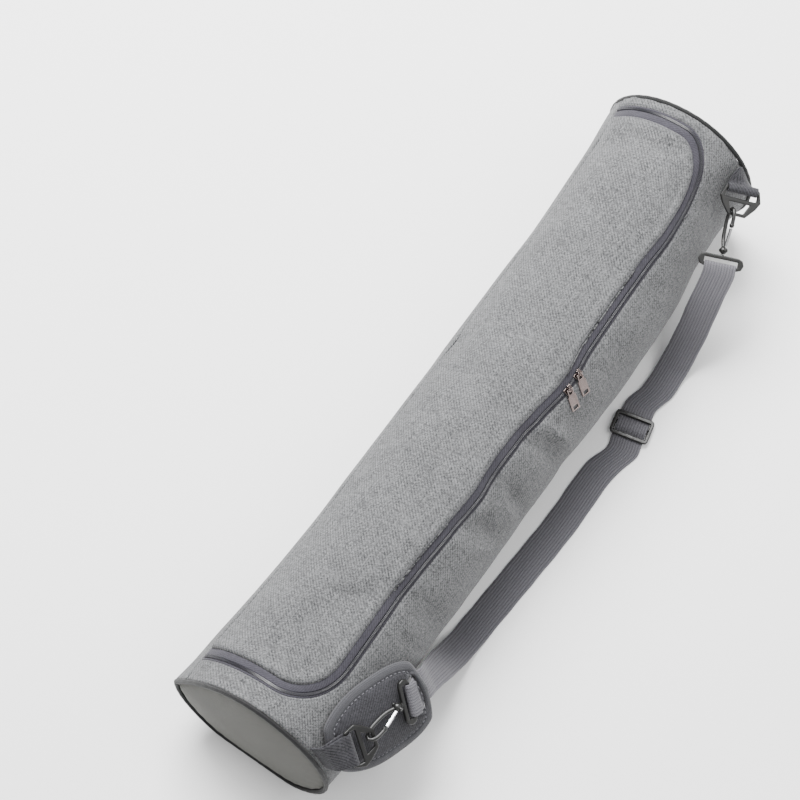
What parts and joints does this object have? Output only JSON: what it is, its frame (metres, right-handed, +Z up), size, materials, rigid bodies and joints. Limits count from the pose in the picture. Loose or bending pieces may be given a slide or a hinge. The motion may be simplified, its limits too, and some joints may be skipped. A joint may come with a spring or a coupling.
{
  "type": "yoga mat bag",
  "caption": "Grey cloth tube bag for a rolled yoga mat, lying on its side, zipped shut, with a padded webbing shoulder strap on snap hooks",
  "frame": {"origin": "middle of the bag's underside, on the floor that it lies on", "axes": "+X along the bag to its top end, -Y to the side the strap lies on, +Z up"},
  "size_m": [0.7059, 0.2125, 0.1488],
  "materials": {
    "cloth": "grey two-tone woven polyester",
    "end_cloth": "grey smooth woven cloth",
    "tape": "purple-grey woven zip tape",
    "coil": "black nylon coil",
    "piping": "black bound piping",
    "nickel": "polished nickel plate",
    "gate_metal": "polished steel",
    "black_plastic": "semi-gloss moulded black",
    "webbing": "ribbed grey webbing",
    "pad_cloth": "woven pad cover with a dark binding"
  },
  "bodies": {
    "bag": {"body_shell": "cloth", "flap_panel": "cloth", "zip_tape_flap": "tape", "zip_tape_body": "tape", "zip_coil": "coil", "end_disc_low": "end_cloth", "end_disc_top": "end_cloth", "piping_low": "piping", "piping_top": "piping", "slider_top": "nickel", "slider_low": "nickel", "ring_top": "black_plastic", "ring_low": "black_plastic", "hook_top": "black_plastic", "hook_low": "black_plastic", "hook_loop_top": "black_plastic", "hook_loop_low": "black_plastic", "tab_top": "webbing", "tab_low": "webbing", "shoulder_pad": "pad_cloth", "strap_buckle": "black_plastic", "strap": "webbing"},
    "top_pull": {"pull_top": "nickel"},
    "low_pull": {"pull_low": "nickel"},
    "top_gate": {"gate_top": "gate_metal"},
    "low_gate": {"gate_low": "gate_metal"}
  },
  "joints": [
    {"name": "pull_top_hinge", "type": "hinge", "parent": "bag", "child": "top_pull", "pos_m": [0.08286, -0.05103, 0.13106], "axis": [-0.9587, 0.1991, 0.203], "range_deg": [0, 150]},
    {"name": "pull_low_hinge", "type": "hinge", "parent": "bag", "child": "low_pull", "pos_m": [0.06582, -0.05198, 0.13018], "axis": [-0.9565, 0.2284, 0.1814], "range_deg": [0, 150]},
    {"name": "gate_top_hinge", "type": "hinge", "parent": "bag", "child": "top_gate", "pos_m": [0.28027, -0.08548, 0.09757], "axis": [-0.4819, 0.7382, 0.4719], "range_deg": [0, 18], "stiffness_Nm_per_rad": 0.02, "springref_deg": -8.59},
    {"name": "gate_low_hinge", "type": "hinge", "parent": "bag", "child": "low_gate", "pos_m": [-0.26314, -0.09254, 0.11348], "axis": [-0.1936, -0.2942, -0.9359], "range_deg": [0, 18], "stiffness_Nm_per_rad": 0.02, "springref_deg": -8.59}
  ]
}
